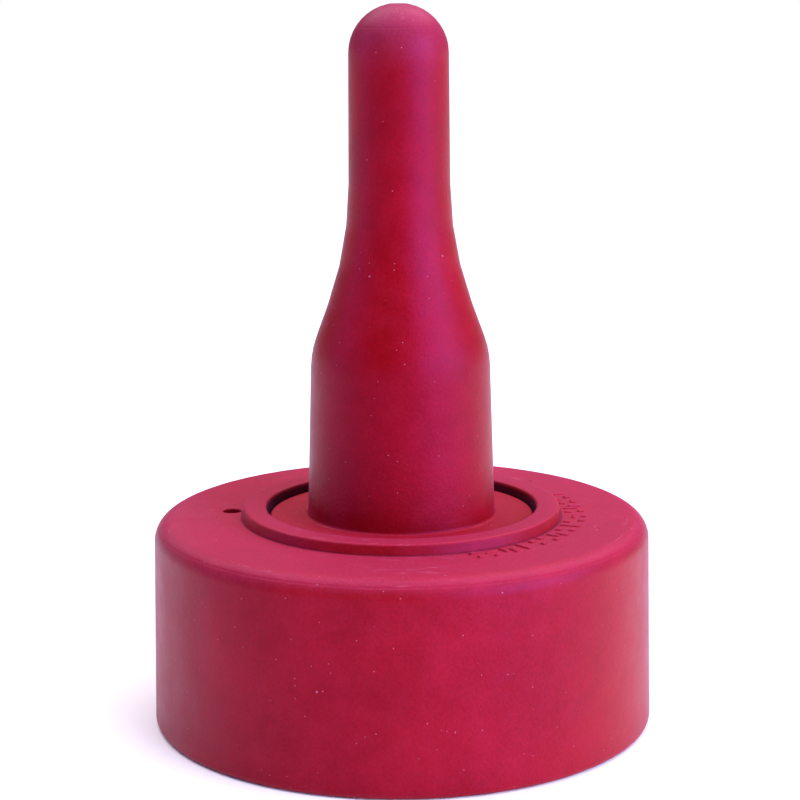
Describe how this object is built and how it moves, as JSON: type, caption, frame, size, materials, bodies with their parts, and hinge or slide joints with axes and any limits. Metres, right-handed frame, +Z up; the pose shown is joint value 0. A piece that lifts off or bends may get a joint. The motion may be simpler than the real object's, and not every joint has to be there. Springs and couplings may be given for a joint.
{
  "type": "animal feeding nipple",
  "caption": "Soft rubber feeding teat held in a press-fit rubber bottle cap with a raised collar and a small vent hole.",
  "frame": {"origin": "centre of the cap's foot, on the surface that the part stands on", "axes": "+Z up the common axis, from the cap's mouth to the teat's tip; the vent hole is near -X"},
  "size_m": [0.0386, 0.0386, 0.0548],
  "materials": {
    "cap_rubber": "matt moulded rubber, crimson, with a pale bloom",
    "teat_rubber": "matt moulded rubber, crimson, with a pale bloom"
  },
  "bodies": {
    "cap": {"snap_cap": "cap_rubber"},
    "teat_base": {"teat_flange": "teat_rubber", "teat_root": "teat_rubber"},
    "teat_stem": {"teat_barrel": "teat_rubber"}
  },
  "joints": [
    {"name": "teat_slide", "type": "slide", "parent": "cap", "child": "teat_base", "axis": [0, 0, 1], "range_m": [-0.008, 0]},
    {"name": "teat_bend", "type": "hinge", "parent": "teat_base", "child": "teat_stem", "pos_m": [0, 0, 0.0181], "axis": [0, 1, 0], "range_deg": [-20, 20], "stiffness_Nm_per_rad": 0.12, "deforming": ["teat_root"]}
  ]
}
